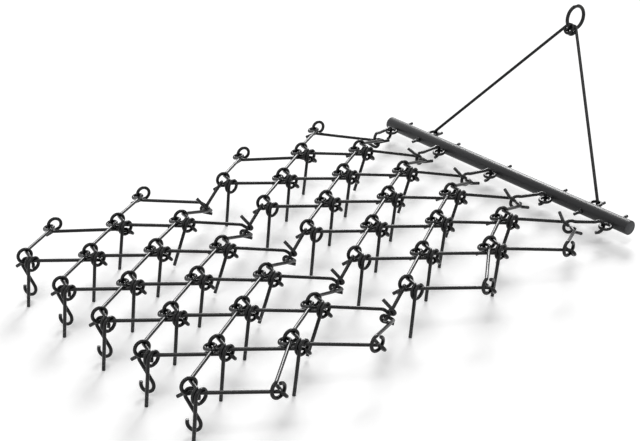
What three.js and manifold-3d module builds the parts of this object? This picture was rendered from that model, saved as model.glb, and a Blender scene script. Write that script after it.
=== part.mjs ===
// Chain harrow: a draw bar, a three-point tow frame and two mats of interlocked tine links.
// Millimetres. +X runs along the draw bar, +Y points forward to the tow ring, +Z is up.
import * as THREE from "three";
import Module from "manifold-3d";

const wasm = await Module();
wasm.setup();

// Driving dimensions
const rodDiameter = 10.92; // tine stock, a light 7/16 inch
const columnPitch = 240; // crossing to crossing across the mat
const rowPitch = 168; // crossing row to crossing row along the mat
const columns = 5; // crossings in an even row
const strips = 4; // rows of links in one mat
const tineReach = 136; // crossing axis to tine tip
const tailStub = 58; // length of the slanting tail on each left coil
const coilRadius = 22; // coil centre line
const coilSpread = 19.3; // each coil's offset from the middle of the crossing, along X
const coilStagger = 4.6; // left coil sits this much above the axis, the right one below
const coilPitch = 11.9; // side step of one turn of a coil
const hookRadius = 14.4; // link hook centre line
const apexHookRadius = 12.2; // the same where two hooks share a connector
const hookTail = 38; // straight tail after a link hook
const hookReach = 7.4; // level run before a right rod's hook turns over
const apexReach = 23; // the same where two hooks share a connector
const shookLength = 133.42; // S-hook or mat connector, outside to outside
const barHookLength = 151.42; // the same for a connector on the bar
const shookRadius = 21; // S-hook bend centre line
const barDiameter = 48.3;
const eyeFlare = 50; // an outer mat eye stands this much further out than its column of links
const barEnd = 60; // bar beyond its outer mat eyes
const towEyeSpan = 804; // tow eye to tow eye
const eyeRadius = 18.5; // bar eye centre line
const eyeStand = 48; // bar axis to eye centre
const barLift = 33; // the bar hangs this far above the ground, from the raised tow frame
const apexDrop = 24.63; // front points of the front mat above the bar's axis, at rest
const eyeTail = 31; // how far an eye's shank stands out on the other side of the bar
const towReach = 515; // tow hinge to where the ring hangs in the rods' eyes
const towRingRadius = 41; // tow ring centre line
const towRingWire = 12.65;
const towEyeRadius = 17; // eye at the upper end of a tow rod
const towTail = 26; // tail of the tow rod's lower hook
const gap = 0.3; // between pieces that touch
const leftThrough = { x: 26, y: 0.6, z: 7.3 }; // where a left rod passes through the right coil
const rightThrough = { x: -29.5, y: 9.1, z: 14.9 }; // where a right rod passes through the left coil
const edgeTail = { x: -21.4, y: -35.8, z: -8.8 }; // where a left edge rod's tail bears on its neighbour
const midSeat = 8.2; // a mat connector's front bend to the coil wire in it, centre to centre
const barSeats = [9.3, 9.8, 6.6, 9.8, 9.3]; // the same for the bar eyes' wires, left to right
const towSeat = 3.8; // the same for the tow ring's wire in a tow rod's eye
const hangSeat = 7.6; // the same for a coil wire in a spare S-hook

// Turns, in degrees
const coilYawAngle = 12.3; // coils are turned this much out of the fore and aft plane
const wholeTurn = 360;
const halfTurn = 180;
const quarterTurn = 90;
const leftCoilTurn = 322; // left coil, from the shank to where its tail leaves
const rightCoilTurn = 450; // right coil, from the shank to the tine
const edgeCoilTurn = 350; // right edge rods, which end in their coil
const leftCatchAngle = 77.5; // where a link hook lies on a left coil, from the coil's start
const rightCatchAngle = 218; // where a link hook lies on a right coil
const midCatchAngle = 44.6; // where a mat connector lies on a left coil
const hangCatchAngle = -10.5; // where a spare S-hook lies on a left coil
const midHookAngles = { first: 110, second: 266.3, edge: 156 }; // link hooks in a mat connector's bend
const barHookAngles = { first: 151, second: 327.5, edge: 253 }; // the same for a connector on the bar
const tailRiseAngle = 20; // link hook tails rise by this
const tailSplayAngle = 31; // coil tails leave the coil's plane by this
const tineLeanAngle = 11; // tines lean to the rear
const midYawAngle = 17.6; // mat connectors, turned to the left
const midRollAngle = 38.8; // and lying over
const hangLeanAngle = 8.2; // spare S-hooks lean to the rear
const hangSwayAngle = 7.5; // and to the right
const hangYawAngle = 58.7; // plane of a spare S-hook, from fore and aft
const towAngle = 57; // tow frame above level at rest
const stripAngles = [0, 0.3, 2.4, 16]; // nose-down pitch of each strip of links at rest

// Facets
const sides = 5;
const coilStep = 50;
const hookStep = 45;
const bendStep = 40;
const barSides = 20;
const ringSides = 8;
const ringSteps = 20;

const rad = THREE.MathUtils.degToRad;
const vec = (x, y, z) => new THREE.Vector3(x, y, z);
const cosine = (degrees) => Math.cos(rad(degrees));
const sine = (degrees) => Math.sin(rad(degrees));

// A round rod as a prism of straight pieces with mitred joints: every piece keeps the full section,
// and the section's corners lie on the rod's surface.
function rodSolid(path, diameter, count = sides) {
  const radius = diameter / 2;
  const way = path.slice(1).map((p, i) => p.clone().sub(path[i]).normalize());
  const side = vec(0, 0, 1).cross(way[0]);
  if (side.length() < 0.1) side.copy(vec(1, 0, 0));
  side.normalize();
  const other = way[0].clone().cross(side);
  let ring = [];
  for (let i = 0; i < count; i++) {
    const turn = (wholeTurn * i) / count;
    ring.push(
      path[0]
        .clone()
        .addScaledVector(side, radius * cosine(turn))
        .addScaledVector(other, radius * sine(turn)),
    );
  }
  const rings = [ring];
  for (let i = 1; i < path.length; i++) {
    const into = way[i - 1];
    const facing = into.clone();
    if (i < way.length) facing.add(way[i]).normalize();
    ring = ring.map((q) => {
      const run = path[i].clone().sub(q).dot(facing) / into.dot(facing);
      return q.clone().addScaledVector(into, run);
    });
    rings.push(ring);
  }
  const points = rings.flat();
  const faces = [];
  for (let i = 1; i < count - 1; i++) {
    const end = (rings.length - 1) * count;
    faces.push([0, i + 1, i], [end, end + i, end + i + 1]);
  }
  for (let k = 0; k + 1 < rings.length; k++)
    for (let i = 0; i < count; i++) {
      const a = k * count + i;
      const b = k * count + ((i + 1) % count);
      faces.push([a, b, b + count], [a, b + count, a + count]);
    }
  return solidOf(points, faces);
}

function solidOf(points, faces) {
  return new wasm.Manifold(
    new wasm.Mesh({
      numProp: 3,
      vertProperties: new Float32Array(points.flatMap((p) => [p.x, p.y, p.z])),
      triVerts: new Uint32Array(faces.flat()),
    }),
  );
}

// Points along an arc: centre + radius * (u cos + v sin), with the corners set out so that the
// straight pieces lie evenly inside and outside the true curve.
function arc(centre, radius, u, v, from, to, step, drift = vec(0, 0, 0), advance = 0) {
  const count = Math.max(1, Math.round(Math.abs(to - from) / step));
  const out = radius / Math.sqrt(cosine(Math.abs(to - from) / count / 2));
  const points = [];
  for (let i = 0; i <= count; i++) {
    const share = i / count;
    const turn = from + (to - from) * share;
    points.push(
      centre
        .clone()
        .addScaledVector(u, out * cosine(turn))
        .addScaledVector(v, out * sine(turn))
        .addScaledVector(drift, advance * share),
    );
  }
  return points;
}

const up = vec(0, 0, 1);
const across = vec(1, 0, 0);
const forward = vec(0, 1, 0);

// The two coils of a crossing stand side by side. Angles go round from the front over the top.
const leftCoil = {
  centre: vec(-coilSpread, 0, coilStagger),
  plane: vec(sine(coilYawAngle), cosine(coilYawAngle), 0),
  away: vec(-cosine(coilYawAngle), sine(coilYawAngle), 0),
  start: -quarterTurn,
  sense: -1,
};
const rightCoil = {
  centre: vec(coilSpread, 0, -coilStagger),
  plane: vec(-sine(coilYawAngle), cosine(coilYawAngle), 0),
  away: vec(cosine(coilYawAngle), sine(coilYawAngle), 0),
  start: quarterTurn,
  sense: 1,
};

const coilPath = (coil, turn) =>
  arc(
    coil.centre,
    coilRadius,
    coil.plane,
    up,
    coil.start,
    coil.start + coil.sense * turn,
    coilStep,
    coil.away,
    (coilPitch * turn) / wholeTurn,
  );

// A point of a round wire that a hook catches, and the way from there to the middle of the round.
function grip(centre, radius, plane, turn, away = up, side = 0) {
  const outward = plane.clone().multiplyScalar(cosine(turn)).addScaledVector(up, sine(turn));
  const at = centre.clone().addScaledVector(outward, radius).addScaledVector(away, side);
  return { at, inward: outward.negate() };
}

function coilGrip(coil, turn) {
  const side = (coilPitch * turn) / wholeTurn;
  return grip(coil.centre, coilRadius, coil.plane, coil.start + coil.sense * turn, coil.away, side);
}

const rightGrip = coilGrip(rightCoil, rightCatchAngle);
const leftGrip = coilGrip(leftCoil, leftCatchAngle);

// A link hook turns over the wire it catches. over is the way that its rod comes in.
function linkHook(node, caught, over, radius, reach) {
  const at = node.clone().add(caught.at);
  const start = at.clone().addScaledVector(over, -reach).addScaledVector(caught.inward, radius);
  const bend = arc(at, radius, over, caught.inward, quarterTurn, -quarterTurn, hookStep);
  const tail = bend[bend.length - 1]
    .clone()
    .addScaledVector(over, -hookTail * cosine(tailRiseAngle))
    .addScaledVector(up, hookTail * sine(tailRiseAngle));
  return reach > 0 ? [start, ...bend, tail] : [...bend, tail];
}

// The rod that runs from its left coil, through its partner's coil, to the front right. apex says
// where it lies in a connector; elsewhere it catches the next crossing's right coil. One that
// stands alone, at the left edge, has no partner.
function leftRod(x, apex, alone) {
  const coil = coilPath(leftCoil, leftCoilTurn);
  const end = leftCoil.start - leftCoilTurn;
  const leave = leftCoil.plane.clone().multiplyScalar(sine(end)).addScaledVector(up, -cosine(end));
  const stub = coil[coil.length - 1]
    .clone()
    .addScaledVector(leave, tailStub * cosine(tailSplayAngle))
    .addScaledVector(leftCoil.away, tailStub * sine(tailSplayAngle));
  const through = alone ? [] : [vec(leftThrough.x, leftThrough.y, leftThrough.z)];
  const node = vec(columnPitch / 2, rowPitch, 0);
  const hook = apex
    ? linkHook(node, alone ? apex.edge : apex.rear, apex.side, apexHookRadius, apexReach)
    : linkHook(node, rightGrip, across, hookRadius, 0);
  if (alone && !apex) {
    const bearing = vec(edgeTail.x, edgeTail.y, edgeTail.z);
    hook[hook.length - 1] = node.clone().add(bearing);
  }
  return [...hook.reverse(), ...through, ...coil, stub].map((p) => p.clone().add(vec(x, 0, 0)));
}

// The rod that runs from its right coil, through its partner's coil, to the front left. Its other
// end is the tine; at the right edge it has neither a partner nor a tine.
function rightRod(x, apex, alone) {
  const coil = coilPath(rightCoil, alone ? edgeCoilTurn : rightCoilTurn);
  const foot = coil[coil.length - 1];
  const lean = ((tineReach + foot.z) * sine(tineLeanAngle)) / cosine(tineLeanAngle);
  const tip = alone ? [] : [vec(foot.x, foot.y - lean, -tineReach)];
  const through = alone ? [] : [vec(rightThrough.x, rightThrough.y, rightThrough.z)];
  const node = vec(-columnPitch / 2, rowPitch, 0);
  const hook = apex
    ? linkHook(node, apex.front, apex.side.clone().negate(), apexHookRadius, apexReach)
    : linkHook(node, leftGrip, across.clone().negate(), hookRadius, hookReach);
  return [...hook.reverse(), ...through, ...coil, ...tip].map((p) => p.clone().add(vec(x, 0, 0)));
}

// Both kinds of open hook are flat. along points from the rear bend to the front bend, and lift
// is square to it and upward.
const shookSpan = shookLength - 2 * shookRadius - rodDiameter;
const barHookSpan = barHookLength - 2 * shookRadius - rodDiameter;
const frontOpenAngle = 125; // angles on a bend are measured from its own along direction
const frontEndAngle = -100;
const rearOpenAngle = 55;
const rearEndAngle = 350;
const hangTipAngle = -25;
const hangTurnAngle = 205;

// A mat connector: a bend at each end, both open on the under side.
function connector(front, rear, roll) {
  const along = front.clone().sub(rear).normalize();
  const level = vec(along.y, -along.x, 0).normalize();
  const upright = level.cross(along).normalize();
  const lift = upright
    .clone()
    .multiplyScalar(cosine(roll))
    .addScaledVector(along.clone().cross(upright), sine(roll));
  const path = [
    ...arc(front, shookRadius, along, lift, frontEndAngle, frontOpenAngle, bendStep),
    ...arc(rear, shookRadius, along, lift, rearOpenAngle, rearEndAngle, bendStep),
  ];
  return { path, rear, side: along.clone().cross(lift) };
}

// Where the two link hooks lie in a connector's rear bend, in the frame of the last strip.
function apexOf(made, hooks, node, pitch) {
  const flat = (v) => {
    const ahead = v.y * cosine(pitch) - v.z * sine(pitch);
    const above = v.y * sine(pitch) + v.z * cosine(pitch);
    return vec(v.x, ahead, above);
  };
  const side = flat(made.side);
  const ahead = forward.clone().addScaledVector(side, -forward.dot(side)).normalize();
  const above = side.clone().cross(ahead);
  const centre = flat(made.rear.clone().sub(node));
  const lie = (turn) => {
    const outward = ahead.clone().multiplyScalar(cosine(turn)).addScaledVector(above, sine(turn));
    return { at: centre.clone().addScaledVector(outward, shookRadius), inward: outward.negate() };
  };
  return { rear: lie(hooks.first), front: lie(hooks.second), edge: lie(hooks.edge), side };
}

// A spare S-hook: its upper bend opens to the front, its lower bend to the rear.
function shookPath(upper, lower, level) {
  const down = lower.clone().sub(upper).normalize();
  const lift = down.clone().negate();
  const side = level.clone().addScaledVector(lift, -level.dot(lift)).normalize();
  return [
    ...arc(upper, shookRadius, side, lift, hangTipAngle, hangTurnAngle, bendStep),
    ...arc(lower, shookRadius, side, lift, hangTurnAngle - halfTurn, hangTipAngle - halfTurn, bendStep),
  ];
}

// Where each crossing row of a mat lies: y and z of its axis, from a rear row at y.
function matRows(y, angles) {
  const rows = [{ y, z: tineReach }];
  for (let r = 0; r < strips; r++) {
    const at = rows[r];
    rows.push({
      y: at.y + rowPitch * cosine(angles[r]),
      z: at.z - rowPitch * sine(angles[r]),
    });
  }
  return rows;
}

// From a strip's own frame, flat with its rear row on the x axis, to the rest pose.
const placed = (points, at, pitch) =>
  points.map((p) =>
    vec(
      p.x,
      at.y + p.y * cosine(pitch) + p.z * sine(pitch),
      at.z - p.y * sine(pitch) + p.z * cosine(pitch),
    ),
  );

const clearWire = rodDiameter + gap; // centre lines of rods that touch
const solids = []; // name, solid, tint and gloss
const rodTint = 0x17181a;
const barTint = 0x1b1c1f;
const rodGloss = 0.42;
const barGloss = 0.38;
const columnAt = (c) => (c - (columns - 1) / 2) * columnPitch;

const joined = (paths) =>
  paths.map((path) => rodSolid(path, rodDiameter)).reduce((all, one) => all.add(one));

// One mat: each crossing's two rods are locked in one another and make one piece.
function addMat(label, rows, angles, connectors, hooks) {
  for (let r = 0; r < strips; r++) {
    const odd = r % 2 === 1;
    const shift = odd ? columnPitch / 2 : 0;
    const count = odd ? columns - 1 : columns;
    const put = (path) => placed(path, rows[r], angles[r]);
    const last = rows[strips];
    const apexes = connectors.map((made, c) => {
      const node = vec(columnAt(c), last.y, last.z);
      return r === strips - 1 ? apexOf(made, hooks, node, angles[r]) : null;
    });
    for (let c = 0; c < count; c++) {
      const x = columnAt(c) + shift;
      const paths = [put(leftRod(x, apexes[c + 1])), put(rightRod(x, apexes[c]))];
      if (odd && c === 0) paths.push(put(leftRod(x - columnPitch, apexes[c], true)));
      solids.push([label + "_link_r" + r + "_c" + c, joined(paths), rodTint, rodGloss]);
    }
    if (odd) {
      const path = put(rightRod(columnAt(columns - 1) + shift, apexes[columns - 1], true));
      solids.push([label + "_edge_link_r" + r, joined([path]), rodTint, rodGloss]);
    }
  }
}

// Connectors from the rear mat's front points to the left coils of the front mat's rear row
const rearRows = matRows(0, stripAngles);
const rearFront = rearRows[strips];
const midWire = coilGrip(leftCoil, midCatchAngle).at;
const midRise = tineReach + midWire.z - rearFront.z;
const midTotal = shookSpan + midSeat;
const midRun = Math.sqrt(midTotal * midTotal - midRise * midRise);
const midWay = vec(-midRun * sine(midYawAngle), midRun * cosine(midYawAngle), midRise).divideScalar(midTotal);
const midOffset = midWire.x - midWay.x * midTotal;
const frontY = rearFront.y + midWay.y * midTotal - midWire.y;
// The front mat's last strip slopes down to the bar's height.
const barZ = barDiameter / 2 + barLift;
const lastZ = matRows(frontY, stripAngles)[strips - 1].z;
const lastAngle = THREE.MathUtils.radToDeg(Math.asin((lastZ - barZ - apexDrop) / rowPitch));
const frontAngles = [...stripAngles.slice(0, strips - 1), lastAngle];
const frontRows = matRows(frontY, frontAngles);
const midConnectors = [];
for (let c = 0; c < columns; c++) {
  const rear = vec(columnAt(c) + midOffset, rearFront.y, rearFront.z);
  const front = rear.clone().addScaledVector(midWay, shookSpan);
  midConnectors.push(connector(front, rear, midRollAngle));
}

// Draw bar ahead of the front mat, with its eyes through it
const barEyeSpan = (columns - 1) * columnPitch + 2 * eyeFlare;
const barLength = barEyeSpan + 2 * barEnd;
const barApex = frontRows[strips];
const eyeX = (c) => (c / (columns - 1) - 1 / 2) * barEyeSpan;
const drop = barApex.z - barZ;
const tautLevel = Math.sqrt((barHookSpan + barSeats[0] - gap) ** 2 - drop * drop) + eyeRadius;
const outerAside = eyeX(0) - columnAt(0);
const eyeY = barApex.y + Math.sqrt(tautLevel * tautLevel - outerAside * outerAside);
const barY = eyeY + eyeStand;
const barConnectors = [];
for (let c = 0; c < columns; c++) {
  const rear = vec(columnAt(c), barApex.y, barApex.z);
  const toEye = Math.hypot(eyeX(c) - rear.x, eyeY - rear.y);
  const way = vec((eyeX(c) - rear.x) / toEye, (eyeY - rear.y) / toEye, 0);
  const level = toEye - eyeRadius;
  const slant = Math.hypot(level, drop);
  const sum = barHookSpan ** 2 + slant ** 2 - barSeats[c] ** 2;
  const open = Math.acos(sum / (2 * barHookSpan * slant));
  const rise = open - Math.atan2(drop, level);
  const front = rear
    .clone()
    .addScaledVector(way, barHookSpan * Math.cos(rise))
    .addScaledVector(up, barHookSpan * Math.sin(rise));
  barConnectors.push(connector(front, rear, 0));
}
addMat("rear", rearRows, stripAngles, midConnectors, midHookAngles);
addMat("front", frontRows, frontAngles, barConnectors, barHookAngles);
for (const [label, row] of [
  ["mid_connector_", midConnectors],
  ["front_connector_", barConnectors],
])
  row.forEach((made, c) => solids.push([label + c, joined([made.path]), rodTint, rodGloss]));

function eyeSolid(x, side) {
  const centre = vec(x, barY + side * eyeStand, barZ);
  const inward = forward.clone().multiplyScalar(-side);
  const ring = arc(centre, eyeRadius, inward, across, 0, wholeTurn - bendStep / 2, bendStep);
  const tip = vec(x, barY - side * (barDiameter / 2 + eyeTail), barZ);
  return rodSolid([tip, ...ring], rodDiameter);
}

const barEnds = [-barLength / 2, barLength / 2].map((x) => vec(x, barY, barZ));
let bar = rodSolid(barEnds, barDiameter, barSides);
for (let c = 0; c < columns; c++) bar = bar.add(eyeSolid(eyeX(c), -1));
for (const hand of [-1, 1]) bar = bar.add(eyeSolid((hand * towEyeSpan) / 2, 1));
solids.push(["draw_bar", bar, barTint, barGloss]);

// Tow frame, raised: a rod from each tow eye to the ring, turned over the eye's front wire
const towHinge = vec(0, barY + eyeStand + eyeRadius, barZ);
const towWay = vec(0, cosine(towAngle), sine(towAngle));
const towNormal = vec(0, -sine(towAngle), cosine(towAngle));
const ringCatch = towHinge.clone().addScaledVector(towWay, towReach);
const towHookRadius = clearWire + 2 * gap;
for (const hand of [-1, 1]) {
  const foot = towHinge.clone().add(vec((hand * towEyeSpan) / 2, 0, 0));
  const toward = ringCatch.clone().sub(foot).normalize();
  const layer = ringCatch.clone().addScaledVector(towNormal, (-hand * (clearWire + gap)) / 2);
  const centre = layer.clone().addScaledVector(toward, -towSeat);
  const aside = towNormal.clone().cross(toward).normalize().multiplyScalar(hand);
  const eyeEnd = wholeTurn - quarterTurn - bendStep;
  const eye = arc(centre, towEyeRadius, toward, aside, -quarterTurn, eyeEnd, bendStep);
  const bendStart = wholeTurn - quarterTurn;
  const bend = arc(foot, towHookRadius, forward, up, bendStart, towAngle + quarterTurn, hookStep);
  const tip = bend[0].clone().addScaledVector(forward, towTail);
  const name = hand < 0 ? "tow_rod_left" : "tow_rod_right";
  solids.push([name, joined([[tip, ...bend, ...eye]]), rodTint, rodGloss]);
}

function torus(centre, radius, wire, count, around) {
  const points = [];
  const faces = [];
  for (let i = 0; i < count; i++) {
    const place = (wholeTurn * i) / count;
    const out = vec(0, cosine(place), sine(place));
    for (let j = 0; j < around; j++) {
      const turn = (wholeTurn * j) / around;
      const from = radius + wire * cosine(turn);
      const aside = wire * sine(turn);
      points.push(centre.clone().addScaledVector(out, from).addScaledVector(across, aside));
      const a = i * around + j;
      const b = i * around + ((j + 1) % around);
      const c = ((i + 1) % count) * around + j;
      const d = ((i + 1) % count) * around + ((j + 1) % around);
      faces.push([a, c, d], [a, d, b]);
    }
  }
  return solidOf(points, faces);
}

const ringCentre = ringCatch.clone().addScaledVector(towWay, towRingRadius);
const ringSolid = torus(ringCentre, towRingRadius, towRingWire / 2, ringSteps, ringSides);
solids.push(["tow_ring", ringSolid, rodTint, rodGloss]);

// Spare S-hooks, hanging from the rear row's left coils
const hangWire = coilGrip(leftCoil, hangCatchAngle).at;
const hangDown = cosine(hangLeanAngle) * cosine(hangSwayAngle);
const hangWay = vec(sine(hangSwayAngle), -sine(hangLeanAngle), -hangDown).normalize();
const hangLevel = vec(sine(hangYawAngle), cosine(hangYawAngle), 0);
for (let c = 0; c < columns; c++) {
  const wire = hangWire.clone().add(vec(columnAt(c), rearRows[0].y, rearRows[0].z));
  const upper = wire.clone().addScaledVector(hangWay, hangSeat);
  const lower = upper.clone().addScaledVector(hangWay, shookSpan);
  solids.push(["s_hook_" + c, joined([shookPath(upper, lower, hangLevel)]), rodTint, rodGloss]);
}

// The origin is under the middle of the whole, on the ground.
const low = vec(Infinity, Infinity, Infinity);
const high = vec(-Infinity, -Infinity, -Infinity);
for (const [, solid] of solids) {
  const box = solid.boundingBox();
  low.min(vec(...box.min));
  high.max(vec(...box.max));
}
const shift = [-(low.x + high.x) / 2, -(low.y + high.y) / 2, -low.z];

const group = new THREE.Group();
group.name = "chain_harrow";
for (const [name, solid, tint, gloss] of solids) {
  const mesh = solid.translate(shift).getMesh();
  const shape = new THREE.BufferGeometry();
  shape.setAttribute("position", new THREE.BufferAttribute(mesh.vertProperties, mesh.numProp));
  shape.setIndex(new THREE.BufferAttribute(mesh.triVerts, 1));
  const flat = shape.toNonIndexed();
  flat.computeVertexNormals();
  const skin = new THREE.MeshStandardMaterial({ color: tint, roughness: gloss, metalness: 0.35 });
  const made = new THREE.Mesh(flat, skin);
  made.name = name;
  group.add(made);
}

export default group;
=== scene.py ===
import math

import bpy
from mathutils import Matrix, Vector


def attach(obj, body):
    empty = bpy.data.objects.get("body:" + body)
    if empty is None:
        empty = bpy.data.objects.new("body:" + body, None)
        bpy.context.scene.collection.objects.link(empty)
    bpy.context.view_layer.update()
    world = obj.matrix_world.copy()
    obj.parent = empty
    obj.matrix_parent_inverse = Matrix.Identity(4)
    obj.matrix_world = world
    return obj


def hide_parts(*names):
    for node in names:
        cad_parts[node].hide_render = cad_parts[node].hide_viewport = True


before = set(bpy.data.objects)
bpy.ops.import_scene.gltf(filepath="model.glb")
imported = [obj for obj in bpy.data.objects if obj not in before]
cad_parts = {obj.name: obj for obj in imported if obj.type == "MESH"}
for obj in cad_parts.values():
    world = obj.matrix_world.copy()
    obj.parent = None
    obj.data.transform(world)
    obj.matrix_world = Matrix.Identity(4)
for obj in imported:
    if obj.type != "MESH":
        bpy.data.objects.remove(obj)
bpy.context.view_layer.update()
print("frame is in")

mm = 0.001
quad = 4  # corners of a face along a rod or a tube
quarterTurn = 90
halfTurn = 180
wholeTurn = 360
origin = Vector((11.94, -973.14, 0.94))  # the middle of the rear row on the ground, in mm
up = Vector((0, 0, 1))
across = Vector((1, 0, 0))
forward = Vector((0, 1, 0))


def cosine(degrees):
    return math.cos(math.radians(degrees))


def sine(degrees):
    return math.sin(math.radians(degrees))


# camera
camera = {
    "place": (3.05097, -2.35182, 2.14674),
    "heading": -54.48829,
    "tilt": 28.01764,
    "roll": -4.41178,
    "lens": 74.97,
    "sensor": 36,
    "farClip": 60,
}


def addCamera():
    ahead = Vector((
        sine(camera["heading"]) * cosine(camera["tilt"]),
        cosine(camera["heading"]) * cosine(camera["tilt"]),
        -sine(camera["tilt"]),
    ))
    right = Vector((cosine(camera["heading"]), -sine(camera["heading"]), 0))
    top = right.cross(ahead)
    rolledRight = right * cosine(camera["roll"]) + top * sine(camera["roll"])
    rolledTop = top * cosine(camera["roll"]) - right * sine(camera["roll"])
    bpy.ops.object.camera_add(location=camera["place"])
    made = bpy.context.object
    made.name = "photoCamera"
    turned = Matrix((rolledRight, rolledTop, -ahead)).transposed()
    made.rotation_euler = turned.to_euler()
    made.data.lens = camera["lens"]
    made.data.sensor_width = camera["sensor"]
    made.data.sensor_fit = "HORIZONTAL"
    made.data.clip_end = camera["farClip"]
    bpy.context.scene.camera = made


# paint
dip = {  # cloudy tone, orange peel and faint scuffs of dipped enamel
    "cloudDetail": 3,
    "cloudRoughness": 0.55,
    "cloudBand": (0.3, 0.7),
    "peelDetail": 2,
    "peelRoughness": 0.5,
    "peelHeight": 0.7,
    "runDetail": 5,
    "runRoughness": 0.62,
    "runHeight": 0.5,
    "scuffBand": (0.56, 0.72),
    "fineDetail": 6,
    "fineRoughness": 0.7,
}
wornEdge = {  # thin paint on cut rims and on the crests of beads
    "sharpBand": (0.53, 0.62),
    "speckleScale": 240,
    "speckleDetail": 4,
    "speckleRoughness": 0.6,
    "speckleBand": (0.4, 0.62),
}


def makeGroup(name, inputs, outputs):
    group = bpy.data.node_groups.new(name, "ShaderNodeTree")
    for label, kind in inputs:
        group.interface.new_socket(label, in_out="INPUT", socket_type=kind)
    for label, kind in outputs:
        group.interface.new_socket(label, in_out="OUTPUT", socket_type=kind)
    return group


def addNode(tree, kind, **settings):
    made = tree.nodes.new(kind)
    for key, value in settings.items():
        setattr(made, key, value)
    return made


def addNoise(tree, vector, scale, detail, roughness):
    noise = addNode(tree, "ShaderNodeTexNoise")
    noise.inputs["Detail"].default_value = detail
    noise.inputs["Roughness"].default_value = roughness
    if hasattr(scale, "is_output"):
        tree.links.new(scale, noise.inputs["Scale"])
    else:
        noise.inputs["Scale"].default_value = scale
    tree.links.new(vector, noise.inputs["Vector"])
    return noise.outputs["Fac"]


def addRange(tree, value, low, high, newLow, newHigh, smooth=False):
    ranged = addNode(tree, "ShaderNodeMapRange")
    ranged.interpolation_type = "SMOOTHSTEP" if smooth else "LINEAR"
    limits = {"From Min": low, "From Max": high, "To Min": newLow, "To Max": newHigh}
    for label, number in limits.items():
        if hasattr(number, "is_output"):
            tree.links.new(number, ranged.inputs[label])
        else:
            ranged.inputs[label].default_value = number
    tree.links.new(value, ranged.inputs["Value"])
    return ranged.outputs["Result"]


def addMath(tree, kind, first, second):
    node = addNode(tree, "ShaderNodeMath", operation=kind)
    for slotIn, number in ((0, first), (1, second)):
        if hasattr(number, "is_output"):
            tree.links.new(number, node.inputs[slotIn])
        else:
            node.inputs[slotIn].default_value = number
    return node.outputs[0]


def addMix(tree, factor, first, second):
    mix = addNode(tree, "ShaderNodeMix", data_type="RGBA")
    tree.links.new(factor, mix.inputs[0])
    for slotIn, colour in ((6, first), (7, second)):
        if hasattr(colour, "is_output"):
            tree.links.new(colour, mix.inputs[slotIn])
        else:
            mix.inputs[slotIn].default_value = (*colour, 1)
    return mix.outputs[2]


def makePaintGroup():
    group = makeGroup(
        "dippedEnamel",
        [
            ("Vector", "NodeSocketVector"),
            ("Cloud Scale", "NodeSocketFloat"),
            ("Peel Scale", "NodeSocketFloat"),
            ("Scuff Scale", "NodeSocketFloat"),
        ],
        [
            ("Cloud", "NodeSocketFloat"),
            ("Scuff", "NodeSocketFloat"),
            ("Height", "NodeSocketFloat"),
        ],
    )
    start = addNode(group, "NodeGroupInput")
    end = addNode(group, "NodeGroupOutput")
    vector = start.outputs["Vector"]
    broad = start.outputs["Cloud Scale"]
    tight = start.outputs["Peel Scale"]
    cloud = addNoise(group, vector, broad, dip["cloudDetail"], dip["cloudRoughness"])
    peel = addNoise(group, vector, tight, dip["peelDetail"], dip["peelRoughness"])
    runs = addNoise(
        group, vector, start.outputs["Scuff Scale"], dip["runDetail"], dip["runRoughness"]
    )
    fine = addNoise(group, vector, tight, dip["fineDetail"], dip["fineRoughness"])
    marked = addRange(group, runs, *dip["scuffBand"], 0, 1, True)
    scuff = addMath(group, "MULTIPLY", marked, fine)
    peelHeight = addMath(group, "MULTIPLY", peel, dip["peelHeight"])
    runHeight = addMath(group, "MULTIPLY", runs, dip["runHeight"])
    height = addMath(group, "ADD", peelHeight, runHeight)
    group.links.new(addRange(group, cloud, *dip["cloudBand"], 0, 1), end.inputs["Cloud"])
    group.links.new(scuff, end.inputs["Scuff"])
    group.links.new(height, end.inputs["Height"])
    return group


def makeEdgeGroup():
    group = makeGroup(
        "thinAtEdges",
        [("Vector", "NodeSocketVector"), ("Sharpness", "NodeSocketFloat")],
        [("Mask", "NodeSocketFloat")],
    )
    start = addNode(group, "NodeGroupInput")
    end = addNode(group, "NodeGroupOutput")
    edge = addRange(group, start.outputs["Sharpness"], *wornEdge["sharpBand"], 0, 1, True)
    speckle = addNoise(
        group, start.outputs["Vector"],
        wornEdge["speckleScale"], wornEdge["speckleDetail"], wornEdge["speckleRoughness"],
    )
    broken = addRange(group, speckle, *wornEdge["speckleBand"], 0, 1, True)
    worn = addMath(group, "MULTIPLY", edge, broken)
    group.links.new(worn, end.inputs["Mask"])
    return group


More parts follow.
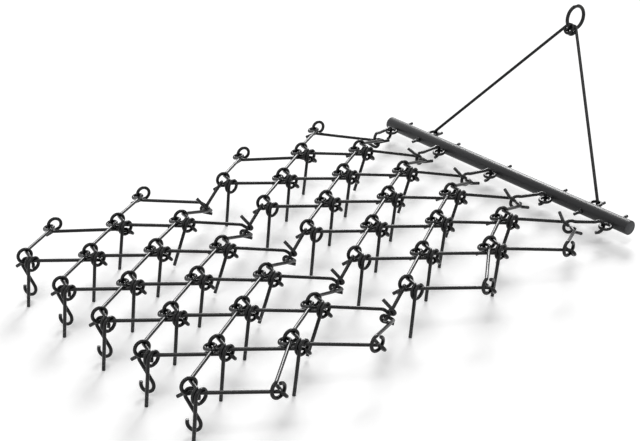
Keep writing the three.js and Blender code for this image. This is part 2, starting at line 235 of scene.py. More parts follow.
finishes = {
    "rodEnamel": {
        "specular": 0.26,
        "deep": (0.0024, 0.0025, 0.0028),
        "pale": (0.006, 0.0062, 0.0067),
        "dust": (0.034, 0.035, 0.038),
        "edge": (0.07, 0.072, 0.075),
        "rough": (0.19, 0.29),
        "scuffRough": 0.12,
        "cloudScale": 11,
        "peelScale": 620,
        "scuffScale": 75,
        "bump": 0.00005,
        "stretch": (1, 1, 1),
    },
    "barEnamel": {
        "specular": 0.24,
        "deep": (0.033, 0.0332, 0.035),
        "pale": (0.047, 0.0475, 0.0498),
        "dust": (0.075, 0.077, 0.082),
        "edge": (0.10, 0.103, 0.108),
        "rough": (0.34, 0.44),
        "scuffRough": 0.1,
        "cloudScale": 7,
        "peelScale": 420,
        "scuffScale": 55,
        "bump": 0.00007,
        "stretch": (0.16, 1, 1),
    },
    "capEnamel": {
        "specular": 0.3,
        "deep": (0.05, 0.051, 0.055),
        "pale": (0.068, 0.07, 0.075),
        "dust": (0.10, 0.103, 0.11),
        "edge": (0.13, 0.133, 0.14),
        "rough": (0.45, 0.58),
        "scuffRough": 0.08,
        "cloudScale": 40,
        "peelScale": 700,
        "scuffScale": 90,
        "bump": 0.00006,
        "stretch": (1, 1, 1),
    },
    "ringEnamel": {
        "specular": 0.28,
        "deep": (0.003, 0.0032, 0.0036),
        "pale": (0.008, 0.0083, 0.009),
        "dust": (0.055, 0.056, 0.059),
        "edge": (0.08, 0.082, 0.086),
        "rough": (0.22, 0.33),
        "scuffRough": 0.14,
        "cloudScale": 30,
        "peelScale": 560,
        "scuffScale": 110,
        "bump": 0.00006,
        "stretch": (1, 1, 1),
    },
    "weldEnamel": {
        "specular": 0.25,
        "deep": (0.013, 0.0135, 0.0145),
        "pale": (0.028, 0.0285, 0.03),
        "dust": (0.06, 0.061, 0.065),
        "edge": (0.09, 0.092, 0.097),
        "rough": (0.34, 0.5),
        "scuffRough": 0.1,
        "cloudScale": 160,
        "peelScale": 900,
        "scuffScale": 300,
        "bump": 0.00022,
        "stretch": (1, 1, 1),
    },
}


def makeFinish(name, look, paint, edges):
    finish = bpy.data.materials.new(name)
    finish.use_nodes = True
    tree = finish.node_tree
    shader = tree.nodes["Principled BSDF"]
    shader.inputs["Specular IOR Level"].default_value = look["specular"]
    place = addNode(tree, "ShaderNodeTexCoord")
    mapping = addNode(tree, "ShaderNodeMapping")
    mapping.inputs["Scale"].default_value = look["stretch"]
    tree.links.new(place.outputs["Object"], mapping.inputs["Vector"])
    coat = addNode(tree, "ShaderNodeGroup", node_tree=paint)
    coat.inputs["Cloud Scale"].default_value = look["cloudScale"]
    coat.inputs["Peel Scale"].default_value = look["peelScale"]
    coat.inputs["Scuff Scale"].default_value = look["scuffScale"]
    tree.links.new(mapping.outputs["Vector"], coat.inputs["Vector"])
    shape = addNode(tree, "ShaderNodeNewGeometry")
    rim = addNode(tree, "ShaderNodeGroup", node_tree=edges)
    tree.links.new(place.outputs["Object"], rim.inputs["Vector"])
    tree.links.new(shape.outputs["Pointiness"], rim.inputs["Sharpness"])
    tone = addMix(tree, coat.outputs["Cloud"], look["deep"], look["pale"])
    scuffed = addMix(tree, coat.outputs["Scuff"], tone, look["dust"])
    colour = addMix(tree, rim.outputs["Mask"], scuffed, look["edge"])
    tree.links.new(colour, shader.inputs["Base Color"])
    rough = addRange(tree, coat.outputs["Cloud"], 0, 1, *look["rough"])
    dulled = addMath(tree, "MULTIPLY", coat.outputs["Scuff"], look["scuffRough"])
    tree.links.new(addMath(tree, "ADD", rough, dulled), shader.inputs["Roughness"])
    bump = addNode(tree, "ShaderNodeBump")
    bump.inputs["Distance"].default_value = look["bump"]
    tree.links.new(coat.outputs["Height"], bump.inputs["Height"])
    tree.links.new(bump.outputs["Normal"], shader.inputs["Normal"])
    return finish


paintGroup = makePaintGroup()
edgeGroup = makeEdgeGroup()
paints = {}
for name, look in finishes.items():
    paints[name] = makeFinish(name, look, paintGroup, edgeGroup)
print("paint is mixed")


# bending rods
rod = {
    "diameter": 10.92,
    "arcStep": 12,  # degrees between points of a bend
    "spacing": 3.0,  # of the points that a bend is eased over
    "passes": 3,
    "keepTurn": 8.0,  # a point is kept where the rod has turned this much
    "keepRun": 70.0,  # or has run this far
    "roundness": 4,
    "cutEdge": 0.9,
    "cutSegments": 2,
    "mergeWithin": 0.01,
    "smoothAngle": 38,
}


def clearSelection():
    if bpy.context.mode != "OBJECT":
        bpy.ops.object.mode_set(mode="OBJECT")
    bpy.ops.object.select_all(action="DESELECT")


def pick(*objects):
    clearSelection()
    for one in objects:
        one.select_set(True)
    bpy.context.view_layer.objects.active = objects[0]


def arcPoints(centre, radius, first, second, start, stop, drift=None, advance=0):
    count = max(1, round(abs(stop - start) / rod["arcStep"]))
    points = []
    for i in range(count + 1):
        share = i / count
        turn = start + (stop - start) * share
        spot = centre + first * (radius * cosine(turn)) + second * (radius * sine(turn))
        points.append(spot + drift * (advance * share) if drift else spot)
    return points


def eased(points):  # kinks become bends, as a bar bent over a mandrel
    even = [points[0]]
    for a, b in zip(points, points[1:]):
        count = max(1, round((b - a).length / rod["spacing"]))
        even += [a.lerp(b, (i + 1) / count) for i in range(count)]
    for _ in range(rod["passes"]):
        middle = [(a + 2 * b + c) / 4 for a, b, c in zip(even, even[1:], even[2:])]
        even = [even[0], *middle, even[-1]]
    kept = [even[0]]
    way = even[1] - even[0]
    for i in range(1, len(even) - 1):
        ahead = even[i + 1] - even[i]
        turned = math.degrees(ahead.angle(way, 0))
        if turned > rod["keepTurn"] or (even[i] - kept[-1]).length > rod["keepRun"]:
            kept.append(even[i])
            way = ahead
    kept.append(even[-1])
    return kept


def makeRod(name, points):
    curve = bpy.data.curves.new(name, "CURVE")
    curve.dimensions = "3D"
    curve.twist_mode = "MINIMUM"
    curve.bevel_depth = rod["diameter"] * mm / 2
    curve.bevel_resolution = rod["roundness"]
    curve.use_fill_caps = True
    spline = curve.splines.new("POLY")
    spline.points.add(len(points) - 1)
    for spot, point in zip(spline.points, points):
        spot.co = (*((point + origin) * mm), 1)
    made = bpy.data.objects.new(name, curve)
    bpy.context.scene.collection.objects.link(made)
    pick(made)
    bpy.ops.object.convert(target="MESH")
    made = bpy.context.object
    bpy.ops.object.mode_set(mode="EDIT")
    bpy.ops.mesh.select_all(action="SELECT")
    bpy.ops.mesh.remove_doubles(threshold=rod["mergeWithin"] * mm)
    bpy.ops.mesh.normals_make_consistent(inside=False)
    bpy.ops.mesh.select_all(action="DESELECT")
    bpy.ops.mesh.select_mode(type="FACE")
    bpy.ops.object.mode_set(mode="OBJECT")
    for face in made.data.polygons:
        face.select = len(face.vertices) > quad
    bpy.ops.object.mode_set(mode="EDIT")
    bpy.ops.mesh.bevel(
        offset=rod["cutEdge"] * mm, segments=rod["cutSegments"], affect="EDGES"
    )
    bpy.ops.object.mode_set(mode="OBJECT")
    bpy.ops.object.shade_smooth_by_angle(angle=math.radians(rod["smoothAngle"]))
    return made


def copyOf(master, name, matrix):
    pick(master)
    bpy.ops.object.duplicate(linked=False)
    made = bpy.context.object
    made.name = name
    made.matrix_world = matrix
    bpy.ops.object.transform_apply(location=True, rotation=True, scale=True)
    return made


def joinedAs(name, objects):
    pick(*objects)
    if len(objects) > 1:
        bpy.ops.object.join()
    made = bpy.context.object
    made.name = name
    made.data.name = name
    return made


def dress(piece, finish, body, slot, *nodes):
    piece.data.materials.clear()
    piece.data.materials.append(paints[finish])
    for node in nodes:
        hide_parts(node)
    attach(piece, body)


def drop(*objects):
    clearSelection()
    for one in objects:
        one.select_set(True)
    bpy.ops.object.delete()


# links
link = {
    "columnPitch": 240,
    "rowPitch": 168,
    "columns": 5,
    "strips": 4,
    "tineReach": 136,
    "tailStub": 58,
    "coilRadius": 22,
    "coilSpread": 19.3,
    "coilStagger": 4.6,
    "coilPitch": 11.9,
    "coilYaw": 12.3,
    "leftTurn": 322,
    "rightTurn": 450,
    "edgeTurn": 350,
    "hookRadius": 14.4,
    "apexHookRadius": 12.2,
    "hookTail": 38,
    "hookReach": 7.4,
    "apexReach": 23,
    "leftCatch": 77.5,
    "rightCatch": 218,
    "tailRise": 20,
    "tailSplay": 31,
    "tineLean": 11,
    "leftThrough": (26, 0.6, 7.3),
    "rightThrough": (-29.5, 9.1, 14.9),
    "edgeTail": (-21.4, -35.8, -8.8),
    "stripAngles": (0, 0.3, 2.4, 16),
}

leftCoil = {
    "centre": Vector((-link["coilSpread"], 0, link["coilStagger"])),
    "plane": Vector((sine(link["coilYaw"]), cosine(link["coilYaw"]), 0)),
    "away": Vector((-cosine(link["coilYaw"]), sine(link["coilYaw"]), 0)),
    "start": -90,
    "sense": -1,
}
rightCoil = {
    "centre": Vector((link["coilSpread"], 0, -link["coilStagger"])),
    "plane": Vector((-sine(link["coilYaw"]), cosine(link["coilYaw"]), 0)),
    "away": Vector((cosine(link["coilYaw"]), sine(link["coilYaw"]), 0)),
    "start": 90,
    "sense": 1,
}


def coilPoints(coil, turn):
    return arcPoints(
        coil["centre"], link["coilRadius"], coil["plane"], up,
        coil["start"], coil["start"] + coil["sense"] * turn,
        coil["away"], link["coilPitch"] * turn / wholeTurn,
    )


def coilGrip(coil, turn):
    angle = coil["start"] + coil["sense"] * turn
    outward = coil["plane"] * cosine(angle) + up * sine(angle)
    side = link["coilPitch"] * turn / wholeTurn
    at = coil["centre"] + outward * link["coilRadius"] + coil["away"] * side
    return {"at": at, "inward": -outward}


leftGrip = coilGrip(leftCoil, link["leftCatch"])
rightGrip = coilGrip(rightCoil, link["rightCatch"])


def linkHook(node, caught, over, radius, reach):
    at = node + caught["at"]
    bend = arcPoints(at, radius, over, caught["inward"], quarterTurn, -quarterTurn)
    level = over * (link["hookTail"] * cosine(link["tailRise"]))
    tail = bend[-1] - level + up * (link["hookTail"] * sine(link["tailRise"]))
    if reach:
        return [at - over * reach + caught["inward"] * radius, *bend, tail]
    return [*bend, tail]


def leftRod(apex=None, alone=False):
    coil = coilPoints(leftCoil, link["leftTurn"])
    end = leftCoil["start"] - link["leftTurn"]
    leave = leftCoil["plane"] * sine(end) - up * cosine(end)
    stub = coil[-1] + leave * (link["tailStub"] * cosine(link["tailSplay"]))
    stub = stub + leftCoil["away"] * (link["tailStub"] * sine(link["tailSplay"]))
    node = Vector((link["columnPitch"] / 2, link["rowPitch"], 0))
    if apex:
        caught = apex["edge"] if alone else apex["rear"]
        radius = link["apexHookRadius"]
        hook = linkHook(node, caught, apex["side"], radius, link["apexReach"])
    else:
        hook = linkHook(node, rightGrip, across, link["hookRadius"], 0)
        if alone:
            hook[-1] = node + Vector(link["edgeTail"])
    through = [] if alone else [Vector(link["leftThrough"])]
    return [*reversed(hook), *through, *coil, stub]


def rightRod(apex=None, alone=False):
    coil = coilPoints(rightCoil, link["edgeTurn"] if alone else link["rightTurn"])
    lean = (link["tineReach"] + coil[-1].z) * math.tan(math.radians(link["tineLean"]))
    tip = [] if alone else [Vector((coil[-1].x, coil[-1].y - lean, -link["tineReach"]))]
    node = Vector((-link["columnPitch"] / 2, link["rowPitch"], 0))
    if apex:
        radius = link["apexHookRadius"]
        hook = linkHook(node, apex["front"], -apex["side"], radius, link["apexReach"])
    else:
        hook = linkHook(node, leftGrip, -across, link["hookRadius"], link["hookReach"])
    through = [] if alone else [Vector(link["rightThrough"])]
    return [*reversed(hook), *through, *coil, *tip]


# connectors and bar
connector = {
    "length": 133.42,
    "barLength": 151.42,
    "bendRadius": 21,
    "frontEnd": -100,
    "frontOpen": 125,
    "rearOpen": 55,
    "rearEnd": 350,
    "midSeat": 8.2,
    "midCatch": 44.6,
    "midYaw": 17.6,
    "midRoll": 38.8,
    "barSeats": (9.3, 9.8, 6.6, 9.8, 9.3),
    "midHooks": {"first": 110, "second": 266.3, "edge": 156},
    "barHooks": {"first": 151, "second": 327.5, "edge": 253},
}
bar = {
    "diameter": 48.3,
    "eyeFlare": 50,
    "end": 60,
    "towEyeSpan": 804,
    "eyeRadius": 18.5,
    "eyeStand": 48,
    "eyeTail": 31,
    "eyeTurn": 348,
    "lift": 33,
    "apexDrop": 24.63,
    "gap": 0.3,
}
hookSpan = connector["length"] - 2 * connector["bendRadius"] - rod["diameter"]
barHookSpan = connector["barLength"] - 2 * connector["bendRadius"] - rod["diameter"]


def columnAt(c):
    return (c - (link["columns"] - 1) / 2) * link["columnPitch"]


def matRows(y, angles):
    rows = [Vector((0, y, link["tineReach"]))]
    for angle in angles:
        at = rows[-1]
        step = Vector((0, cosine(angle), -sine(angle)))
        rows.append(at + step * link["rowPitch"])
    return rows


def connectorAt(front, rear, roll):
    along = (front - rear).normalized()
    level = Vector((along.y, -along.x, 0)).normalized()
    upright = level.cross(along).normalized()
    lift = upright * cosine(roll) + along.cross(upright) * sine(roll)
    radius = connector["bendRadius"]
    path = arcPoints(front, radius, along, lift, connector["frontEnd"], connector["frontOpen"])
    path += arcPoints(rear, radius, along, lift, connector["rearOpen"], connector["rearEnd"])
    return {"path": path, "rear": rear, "side": along.cross(lift)}


def apexOf(made, hooks, node, pitch):
    def flat(v):
        return Matrix.Rotation(math.radians(pitch), 3, "X") @ v

    side = flat(made["side"])
    ahead = (forward - side * forward.dot(side)).normalized()
    above = side.cross(ahead)
    centre = flat(made["rear"] - node)

    def lie(turn):
        outward = ahead * cosine(turn) + above * sine(turn)
        return {"at": centre + outward * connector["bendRadius"], "inward": -outward}

    return {
        "rear": lie(hooks["first"]),
        "front": lie(hooks["second"]),
        "edge": lie(hooks["edge"]),
        "side": side,
    }


rearAngles = link["stripAngles"]
rearRows = matRows(0, rearAngles)
rearFront = rearRows[-1]
midWire = coilGrip(leftCoil, connector["midCatch"])["at"]
midRise = link["tineReach"] + midWire.z - rearFront.z
midTotal = hookSpan + connector["midSeat"]
midRun = math.sqrt(midTotal ** 2 - midRise ** 2)
midYaw = connector["midYaw"]
midWay = Vector((-midRun * sine(midYaw), midRun * cosine(midYaw), midRise)) / midTotal
midOffset = midWire.x - midWay.x * midTotal
frontY = rearFront.y + midWay.y * midTotal - midWire.y
barZ = bar["diameter"] / 2 + bar["lift"]
lastZ = matRows(frontY, rearAngles)[-2].z
lastAngle = math.degrees(math.asin((lastZ - barZ - bar["apexDrop"]) / link["rowPitch"]))
frontAngles = (*rearAngles[:-1], lastAngle)
frontRows = matRows(frontY, frontAngles)
midConnectors = []
for c in range(link["columns"]):
    rear = Vector((columnAt(c) + midOffset, rearFront.y, rearFront.z))
    midConnectors.append(connectorAt(rear + midWay * hookSpan, rear, connector["midRoll"]))

barApex = frontRows[-1]
barEyeSpan = (link["columns"] - 1) * link["columnPitch"] + 2 * bar["eyeFlare"]
barLength = barEyeSpan + 2 * bar["end"]
fall = barApex.z - barZ
chord = barHookSpan + connector["barSeats"][0] - bar["gap"]
taut = math.sqrt(chord ** 2 - fall ** 2) + bar["eyeRadius"]
eyeY = barApex.y + math.sqrt(taut ** 2 - bar["eyeFlare"] ** 2)
barY = eyeY + bar["eyeStand"]


def eyeX(c):
    return (c / (link["columns"] - 1) - 1 / 2) * barEyeSpan


barConnectors = []
for c in range(link["columns"]):
    rear = Vector((columnAt(c), barApex.y, barApex.z))
    toEye = Vector((eyeX(c) - rear.x, eyeY - rear.y, 0))
    level = toEye.length - bar["eyeRadius"]
    slant = math.hypot(level, fall)
    reach = barHookSpan ** 2 + slant ** 2 - connector["barSeats"][c] ** 2
    rise = math.acos(reach / (2 * barHookSpan * slant)) - math.atan2(fall, level)
    way = toEye.normalized() * math.cos(rise) + up * math.sin(rise)
    front = rear + way * barHookSpan
    barConnectors.append(connectorAt(front, rear, 0))


def placeOf(x, at, pitch):  # from a strip's own flat frame to where it rests, in metres
    home = Matrix.Translation(origin * mm)
    aside = Matrix.Translation(Vector((x, 0, 0)) * mm)
    turn = Matrix.Rotation(math.radians(-pitch), 4, "X")
    rest = Matrix.Translation((Vector((0, at.y, at.z)) + origin) * mm)
    return rest @ turn @ aside @ home.inverted()


leftMaster = makeRod("leftRodMaster", eased(leftRod()))
rightMaster = makeRod("rightRodMaster", eased(rightRod()))
leftEdgeMaster = makeRod("leftEdgeMaster", eased(leftRod(alone=True)))
rightEdgeMaster = makeRod("rightEdgeMaster", eased(rightRod(alone=True)))


def addMat(mat, rows, angles, connectors, hooks):
    for r in range(link["strips"]):
        odd = r % 2 == 1
        last = r == link["strips"] - 1
        shift = link["columnPitch"] / 2 if odd else 0
        body = f"{mat}_strip_{r}"
        apexes = []
        for c, made in enumerate(connectors):
            node = Vector((columnAt(c), rows[-1].y, rows[-1].z))
            apexes.append(apexOf(made, hooks, node, angles[r]))
        for c in range(link["columns"] - 1 if odd else link["columns"]):
            x = columnAt(c) + shift
            name = f"{mat}Crossing{r}{c}"
            bent = []  # rods of the last row are bent to their own connectors
            if last:
                bent.append(makeRod("leftBent", eased(leftRod(apexes[c + 1]))))
                bent.append(makeRod("rightBent", eased(rightRod(apexes[c]))))
            place = placeOf(x, rows[r], angles[r])
            rods = [copyOf(one, name, place) for one in bent or (leftMaster, rightMaster)]
            if odd and c == 0:
                edge = leftEdgeMaster
                if last:
                    edge = makeRod("edgeBent", eased(leftRod(apexes[0], True)))
                    bent.append(edge)
                place = placeOf(x - link["columnPitch"], rows[r], angles[r])
                rods.append(copyOf(edge, name, place))
            if bent:
                drop(*bent)
            dress(joinedAs(name, rods), "rodEnamel", body, "rod", f"{mat}_link_r{r}_c{c}")
        if odd:
            x = columnAt(link["columns"] - 1) + shift
            edge = rightEdgeMaster
            if last:
                edge = makeRod("edgeBent", eased(rightRod(apexes[-1], True)))
            name = f"{mat}EdgeRod{r}"
            made = copyOf(edge, name, placeOf(x, rows[r], angles[r]))
            if last:
                drop(edge)
            dress(joinedAs(name, [made]), "rodEnamel", body, "rod", f"{mat}_edge_link_r{r}")
    print(mat, "mat is laid")


addMat("rear", rearRows, rearAngles, midConnectors, connector["midHooks"])
addMat("front", frontRows, frontAngles, barConnectors, connector["barHooks"])
drop(leftMaster, rightMaster, leftEdgeMaster, rightEdgeMaster)

midMaster = makeRod("midMaster", eased(midConnectors[0]["path"]))
for c in range(link["columns"]):
    aside = Matrix.Translation(Vector((columnAt(c) - columnAt(0), 0, 0)) * mm)
    name = f"midConnector{c}"
    made = joinedAs(name, [copyOf(midMaster, name, aside)])
    dress(made, "rodEnamel", "mid_connectors", "rod", f"mid_connector_{c}")
drop(midMaster)
for c, made in enumerate(barConnectors):
    name = f"frontConnector{c}"
    piece = joinedAs(name, [makeRod(name, eased(made["path"]))])
    dress(piece, "rodEnamel", "front_connectors", "rod", f"front_connector_{c}")
print("connectors are hung")

# spare hooks
spareHook = {
    "catch": -10.5,
    "seat": 7.6,
    "lean": 8.2,
    "sway": 7.5,
    "yaw": 58.7,
    "tip": -25,
    "turn": 205,
}
hangWire = coilGrip(leftCoil, spareHook["catch"])["at"]
hangWay = Vector((
    sine(spareHook["sway"]),
    -sine(spareHook["lean"]),
    -cosine(spareHook["lean"]) * cosine(spareHook["sway"]),
)).normalized()
hangLevel = Vector((sine(spareHook["yaw"]), cosine(spareHook["yaw"]), 0))


def spareHookPath(x):
    upper = hangWire + Vector((x, 0, link["tineReach"])) + hangWay * spareHook["seat"]
    lower = upper + hangWay * hookSpan
    lift = -hangWay
    side = (hangLevel - lift * hangLevel.dot(lift)).normalized()
    radius = connector["bendRadius"]
    start, stop = spareHook["tip"], spareHook["turn"]
    path = arcPoints(upper, radius, side, lift, start, stop)
    return path + arcPoints(lower, radius, side, lift, stop - halfTurn, start - halfTurn)


spareMaster = makeRod("spareMaster", eased(spareHookPath(0)))
for c in range(link["columns"]):
    aside = Matrix.Translation(Vector((columnAt(c), 0, 0)) * mm)
    name = f"spareHook{c}"
    made = joinedAs(name, [copyOf(spareMaster, name, aside)])
    dress(made, "rodEnamel", f"spare_hook_{c}", "rod", f"s_hook_{c}")
drop(spareMaster)
print("spare hooks are hung")

# draw bar
tube = {
    "sides": 96,
    "wall": 3.2,
    "capBand": 1.4,
    "groove": 0.6,
    "capRiseShare": 0.5,
    "rim": 1.0,
    "rimSegments": 3,
    "endFacing": 0.9,
    "flatFacing": 0.99,
    "smoothAngle": 32,
}


def selectFaces(made, test):
    bpy.ops.object.mode_set(mode="EDIT")
    bpy.ops.mesh.select_mode(type="FACE")
    bpy.ops.mesh.select_all(action="DESELECT")
    bpy.ops.object.mode_set(mode="OBJECT")
    for face in made.data.polygons:
        face.select = test(face)
    bpy.ops.object.mode_set(mode="EDIT")


def makeTube():
    clearSelection()
    middle = (Vector((0, barY, barZ)) + origin) * mm
    bpy.ops.mesh.primitive_cylinder_add(
        vertices=tube["sides"], radius=bar["diameter"] * mm / 2, depth=barLength * mm,
        location=middle, rotation=(0, math.radians(quarterTurn), 0),
    )
    made = bpy.context.object
    bpy.ops.object.transform_apply(location=True, rotation=True, scale=True)
    for hand in (-1, 1):
        def isEnd(face):
            return face.normal.x * hand > tube["endFacing"]

        def isCap(face):
            return face.normal.x * hand > tube["flatFacing"] and len(face.vertices) > quad

        groove = tube["groove"] * mm
        selectFaces(made, isEnd)
        bpy.ops.mesh.bevel(
            offset=tube["rim"] * mm, segments=tube["rimSegments"], affect="EDGES"
        )
        selectFaces(made, isCap)
        bpy.ops.mesh.inset(thickness=(tube["wall"] - tube["rim"]) * mm)
        bpy.ops.mesh.inset(thickness=groove, depth=-groove)
        bpy.ops.mesh.inset(thickness=groove, depth=groove * tube["capRiseShare"])
    bpy.ops.object.mode_set(mode="OBJECT")
    bpy.ops.object.shade_smooth_by_angle(angle=math.radians(tube["smoothAngle"]))
    return made


drawBar = joinedAs("drawBarTube", [makeTube()])
dress(drawBar, "barEnamel", "draw_bar", "bar", "draw_bar")
drawBar.data.materials.append(paints["capEnamel"])
capFrom = (barLength / 2 - tube["capBand"]) * mm
capRadius = (bar["diameter"] / 2 - tube["wall"] - tube["groove"]) * mm
barMiddle = (Vector((0, barY, barZ)) + origin) * mm
for face in drawBar.data.polygons:
    out = face.center - barMiddle
    if abs(out.x) > capFrom and math.hypot(out.y, out.z) < capRadius:
        face.material_index = 1

bead = {
    "radius": 6.6,
    "wire": 1.9,
    "sink": 0.4,
    "segments": 56,
    "around": 10,
    "ripple": 0.22,
    "ripples": 11,
}
nut = {
    "across": 15,
    "thick": 8,
    "sides": 6,
    "sink": 0.2,
    "washer": 20,
    "washerThick": 2,
    "washerSides": 32,
    "chamfer": 0.9,
    "chamferSegments": 2,
    "washerChamferShare": 0.4,
    "endFacing": 0.9,
}


def eyePath(x, side):
    centre = Vector((x, barY + side * bar["eyeStand"], barZ))
    inward = forward * -side
    ring = arcPoints(centre, bar["eyeRadius"], inward, across, 0, bar["eyeTurn"])
    tip = Vector((x, barY - side * (bar["diameter"] / 2 + bar["eyeTail"]), barZ))
    return [tip, *ring]


def addBead(name, x, side):  # fillet of weld where a shank enters the tube
    clearSelection()
    barRadius = bar["diameter"] / 2 * mm
    skin = barY + side * (bar["diameter"] / 2 - bead["sink"])
    place = (Vector((x, skin, barZ)) + origin) * mm
    bpy.ops.mesh.primitive_torus_add(
        major_segments=bead["segments"], minor_segments=bead["around"],
        major_radius=bead["radius"] * mm, minor_radius=bead["wire"] * mm,
        location=place, rotation=(math.radians(quarterTurn), 0, 0),
    )
    made = bpy.context.object
    made.name = name
    bpy.ops.object.transform_apply(location=True, rotation=True, scale=True)
    for corner in made.data.vertices:
        out = corner.co - place
        turn = math.atan2(out.z, out.x)
        swell = bead["ripple"] * mm * math.sin(bead["ripples"] * turn)
        corner.co += Vector((out.x, out.y + side * mm, out.z)).normalized() * swell
        rise = corner.co.z - place.z
        corner.co.y -= side * (barRadius - math.sqrt(barRadius ** 2 - rise ** 2))
    bpy.ops.object.shade_smooth()
    return made


def addNut(name, x, side):
    clearSelection()
    face = barY + side * (bar["diameter"] / 2 - nut["sink"])
    washerAt = (Vector((x, face + side * nut["washerThick"] / 2, barZ)) + origin) * mm
    bpy.ops.mesh.primitive_cylinder_add(
        vertices=nut["washerSides"], radius=nut["washer"] / 2 * mm,
        depth=nut["washerThick"] * mm,
        location=washerAt, rotation=(math.radians(quarterTurn), 0, 0),
    )
    washer = bpy.context.object
    bpy.ops.object.transform_apply(location=True, rotation=True, scale=True)
    seat = face + side * (nut["washerThick"] + nut["thick"] / 2)
    nutAt = (Vector((x, seat, barZ)) + origin) * mm
    bpy.ops.mesh.primitive_cylinder_add(
        vertices=nut["sides"], radius=nut["across"] / math.sqrt(3) * mm,
        depth=nut["thick"] * mm,
        location=nutAt, rotation=(math.radians(quarterTurn), 0, 0),
    )
    hexagon = bpy.context.object
    bpy.ops.object.transform_apply(location=True, rotation=True, scale=True)
    for one, share in ((washer, nut["washerChamferShare"]), (hexagon, 1)):
        pick(one)
        selectFaces(one, lambda face: abs(face.normal.y) > nut["endFacing"])
        bpy.ops.mesh.bevel(
            offset=nut["chamfer"] * mm * share, segments=nut["chamferSegments"], affect="EDGES"
        )
        bpy.ops.object.mode_set(mode="OBJECT")
        bpy.ops.object.shade_smooth_by_angle(angle=math.radians(tube["smoothAngle"]))
    return joinedAs(name, [hexagon, washer])


def addEye(name, x, side):
    piece = joinedAs(name, [makeRod(name, eased(eyePath(x, side)))])
    dress(piece, "rodEnamel", "draw_bar", "bar")
    weld = addBead(name + "Weld", x, side)
    dress(weld, "weldEnamel", "draw_bar", "bar")
    if side > 0:
        dress(addNut(name + "Nut", x, -side), "ringEnamel", "draw_bar", "bar")
    else:
        dress(addBead(name + "BackWeld", x, -side), "weldEnamel", "draw_bar", "bar")


for c in range(link["columns"]):
    addEye(f"matEye{c}", eyeX(c), -1)
for hand, side in ((-1, "Left"), (1, "Right")):
    addEye("towEye" + side, hand * bar["towEyeSpan"] / 2, 1)
print("draw bar is ready")

# tow frame
tow = {
    "reach": 515,
    "rise": 57,
    "eyeRadius": 17,
    "eyeTurn": (-90, 228),
    "hookRadius": 11.82,
    "seat": 3.8,
    "tail": 26,
    "layer": 5.76,
    "ringRadius": 41,
    "ringWire": 12.65,
    "ringSteps": 96,
    "ringSides": 24,
    "seam": 0.55,
    "seamAt": 100,
    "seamHalf": 5,
}
towHinge = Vector((0, barY + bar["eyeStand"] + bar["eyeRadius"], barZ))
towWay = Vector((0, cosine(tow["rise"]), sine(tow["rise"])))
towNormal = Vector((0, -sine(tow["rise"]), cosine(tow["rise"])))
ringCatch = towHinge + towWay * tow["reach"]
ringCentre = ringCatch + towWay * tow["ringRadius"]


def towRodPath(hand):
    foot = towHinge + Vector((hand * bar["towEyeSpan"] / 2, 0, 0))
    toward = (ringCatch - foot).normalized()
    centre = ringCatch - towNormal * (hand * tow["layer"]) - toward * tow["seat"]
    aside = towNormal.cross(toward).normalized() * hand
    eye = arcPoints(centre, tow["eyeRadius"], toward, aside, *tow["eyeTurn"])
    bend = arcPoints(
        foot, tow["hookRadius"], forward, up, 3 * quarterTurn, tow["rise"] + quarterTurn
    )
    tip = bend[0] + forward * tow["tail"]
    return [tip, *bend, *eye]


for hand, side in ((-1, "left"), (1, "right")):
    name = "towRod" + side.title()
    piece = joinedAs(name, [makeRod(name, eased(towRodPath(hand)))])
    dress(piece, "rodEnamel", "tow_frame", "rod", "tow_rod_" + side)


def makeRing():
    clearSelection()
    centre = (ringCentre + origin) * mm
    bpy.ops.mesh.primitive_torus_add(
        major_segments=tow["ringSteps"], minor_segments=tow["ringSides"],
        major_radius=tow["ringRadius"] * mm, minor_radius=tow["ringWire"] / 2 * mm,
        location=centre, rotation=(0, math.radians(quarterTurn), 0),
    )
    made = bpy.context.object
    bpy.ops.object.transform_apply(location=True, rotation=True, scale=True)
    for corner in made.data.vertices:  # the butt weld stands a little proud
        out = corner.co - centre
        turn = math.degrees(math.atan2(out.z, out.y)) - tow["seamAt"]
        near = max(0, 1 - abs(turn) / tow["seamHalf"])
        middle = centre + Vector((0, out.y, out.z)).normalized() * tow["ringRadius"] * mm
        corner.co += (corner.co - middle).normalized() * (tow["seam"] * mm * near)
    bpy.ops.object.shade_smooth()
    return made


towRing = joinedAs("towRing", [makeRing()])
dress(towRing, "ringEnamel", "tow_ring", "ring", "tow_ring")
print("tow frame is up")

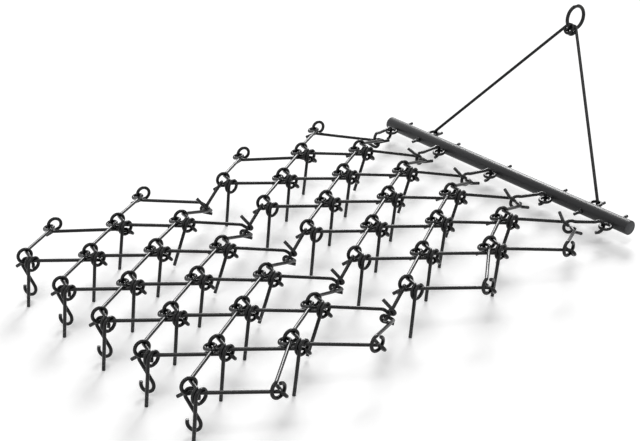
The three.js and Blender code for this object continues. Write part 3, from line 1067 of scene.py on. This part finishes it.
# studio
studio = {
    "floorSize": 70,
    "floorTint": (0.86, 0.86, 0.86),
    "floorRough": 0.9,
    "floorSpecular": 0.1,
    "floorGlow": 0.29,
    "worldLight": 0.3,
    "sun": 0.6,
    "sunAngle": 22,
    "sunFrom": (0.17, -0.12, 0.98),
    "rim": 2.85,
    "rimAngle": 24,
    "rimFrom": (-0.56, 0.66, 0.51),
}


def seenDirectly(tree):  # 1 for what the camera sees straight, in a mirror or through glass
    path = addNode(tree, "ShaderNodeLightPath")
    seen = addMath(tree, "MAXIMUM", path.outputs["Is Camera Ray"], path.outputs["Is Glossy Ray"])
    return addMath(tree, "MAXIMUM", seen, path.outputs["Is Transmission Ray"])


def addStudio():
    clearSelection()
    bpy.ops.mesh.primitive_plane_add(size=studio["floorSize"], location=(0, 0, 0))
    floor = bpy.context.object
    floor.name = "studioFloor"
    paper = bpy.data.materials.new("floorPaper")
    paper.use_nodes = True
    tree = paper.node_tree
    shader = tree.nodes["Principled BSDF"]
    shader.inputs["Base Color"].default_value = (*studio["floorTint"], 1)
    shader.inputs["Roughness"].default_value = studio["floorRough"]
    shader.inputs["Specular IOR Level"].default_value = studio["floorSpecular"]
    shader.inputs["Emission Color"].default_value = (1, 1, 1, 1)
    glow = addMath(tree, "MULTIPLY", seenDirectly(tree), studio["floorGlow"])
    tree.links.new(glow, shader.inputs["Emission Strength"])
    floor.data.materials.append(paper)
    world = bpy.data.worlds.new("studioWorld")
    world.use_nodes = True
    bpy.context.scene.world = world
    tree = world.node_tree
    sky = tree.nodes["Background"]
    sky.inputs["Color"].default_value = (1, 1, 1, 1)
    strength = addRange(tree, seenDirectly(tree), 0, 1, studio["worldLight"], 1)
    tree.links.new(strength, sky.inputs["Strength"])
    for lamp in ("sun", "rim"):
        turn = Vector(studio[lamp + "From"]).to_track_quat("Z", "Y").to_euler()
        bpy.ops.object.light_add(type="SUN", rotation=turn)
        bpy.context.object.data.energy = studio[lamp]
        bpy.context.object.data.angle = math.radians(studio[lamp + "Angle"])


addCamera()
addStudio()
bpy.context.scene.view_settings.view_transform = "Standard"
print("studio is lit")
